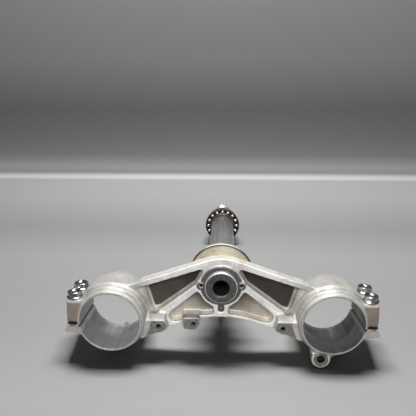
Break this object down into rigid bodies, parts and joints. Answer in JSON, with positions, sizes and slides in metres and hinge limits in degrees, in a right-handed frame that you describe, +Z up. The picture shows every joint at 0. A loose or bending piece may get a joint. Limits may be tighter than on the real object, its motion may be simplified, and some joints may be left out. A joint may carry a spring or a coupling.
{
  "type": "motorcycle lower triple clamp with steering stem",
  "caption": "Cast lower fork clamp with two split fork rings, ribbed web, hollow steering stem, dust seal and caged ball bearings, lying on its lug and stem end.",
  "frame": {"origin": "centre of the hole in the lower end face of the steering stem", "axes": "+X across the forks towards the right ring in the picture, +Z up with the part lying on its lug and the end of its stem, +Y along the floor from the rings towards the far end of the stem, which slopes down by 13.71 degrees"},
  "size_m": [0.2976, 0.2912, 0.1006],
  "materials": {
    "cast_aluminium": "cast and blasted, satin",
    "stem_metal": "turned, matte",
    "seal_cream": "smooth, worn",
    "washer_steel": "satin",
    "race_steel": "ground, oily",
    "cage_dark": "dark, greasy",
    "ball_steel": "polished",
    "nut_zinc": "zinc plated",
    "bolt_chrome": "bright plated",
    "pin_zinc": "zinc plated"
  },
  "bodies": {
    "clamp_and_stem": {"lower_clamp": "cast_aluminium", "steering_stem": "stem_metal", "dust_seal": "seal_cream", "seal_washer": "washer_steel", "lower_race": "race_steel", "upper_race": "race_steel", "adjusting_nut": "nut_zinc", "bolt_left_near": "bolt_chrome", "bolt_left_far": "bolt_chrome", "bolt_right_near": "bolt_chrome", "bolt_right_far": "bolt_chrome", "locating_pin": "pin_zinc"},
    "lower_bearing": {"lower_cage": "cage_dark", "lower_balls": "ball_steel"},
    "upper_bearing": {"upper_cage": "cage_dark", "upper_balls": "ball_steel"}
  },
  "joints": [
    {"name": "lower_bearing_turn", "type": "hinge", "parent": "clamp_and_stem", "child": "lower_bearing", "pos_m": [0, 0.04615, -0.01126], "axis": [0, 0.9715, -0.2371], "continuous": true},
    {"name": "upper_bearing_turn", "type": "hinge", "parent": "clamp_and_stem", "child": "upper_bearing", "pos_m": [0, 0.19818, -0.04836], "axis": [0, 0.9715, -0.2371], "continuous": true}
  ]
}
